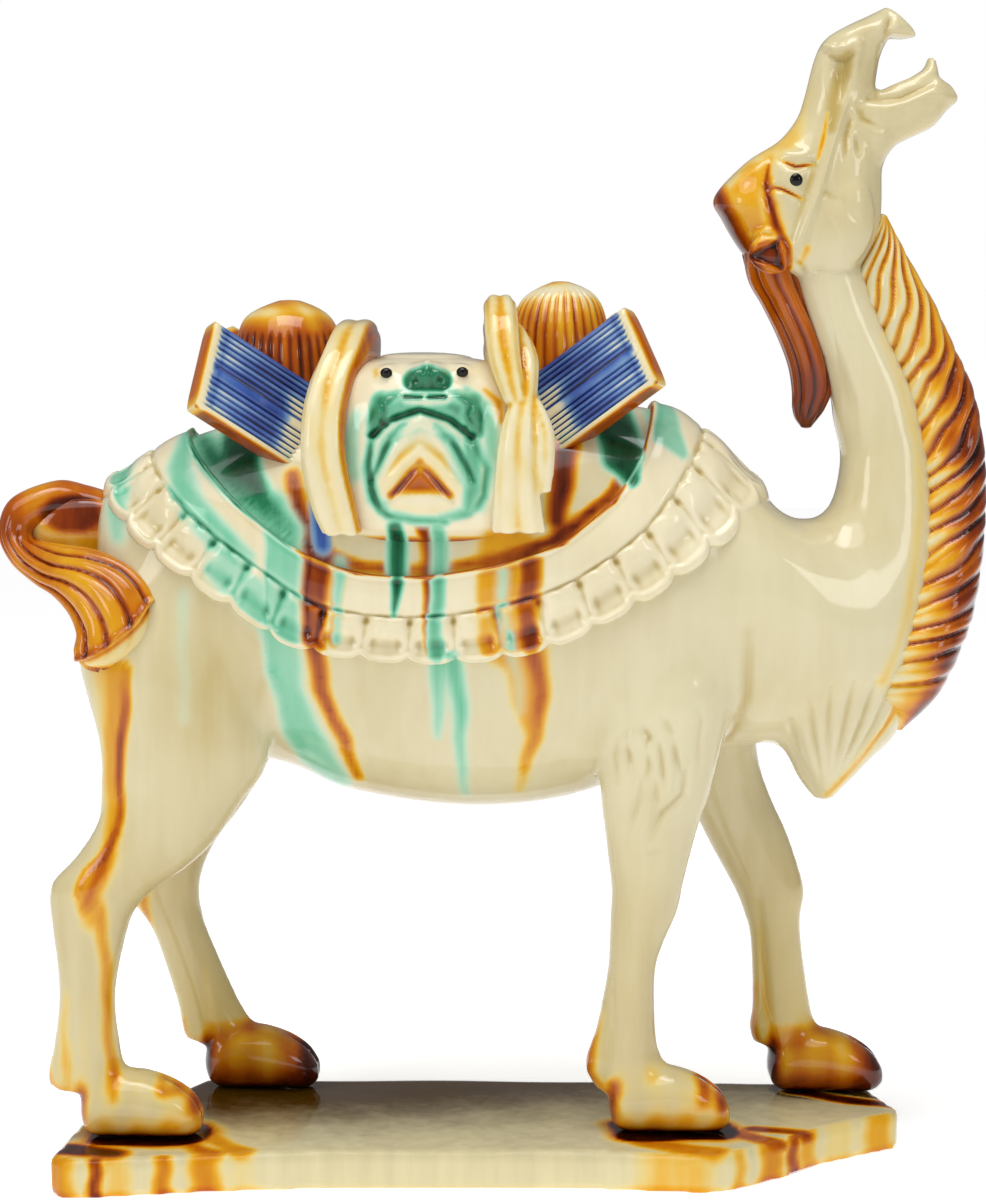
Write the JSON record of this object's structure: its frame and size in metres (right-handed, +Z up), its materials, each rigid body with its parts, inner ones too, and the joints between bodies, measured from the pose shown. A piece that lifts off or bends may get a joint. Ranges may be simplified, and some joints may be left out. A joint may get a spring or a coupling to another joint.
{
  "type": "ceramic camel figure",
  "caption": "Glazed ceramic camel standing with raised head and a moulded pack load, on a low slab.",
  "frame": {"origin": "centre of the footprint, on the underside of the slab", "axes": "+X towards the camel's head, +Y towards its left side, +Z up"},
  "size_m": [0.3925, 0.1405, 0.4562],
  "materials": {
    "camel_glaze": "glossy cream glaze with amber, brown, green and blue running over it",
    "plinth_glaze": "glossy cream glaze with amber pools at the feet and the edges"
  },
  "bodies": {
    "root": {"camel": "camel_glaze", "plinth": "plinth_glaze"}
  },
  "joints": []
}
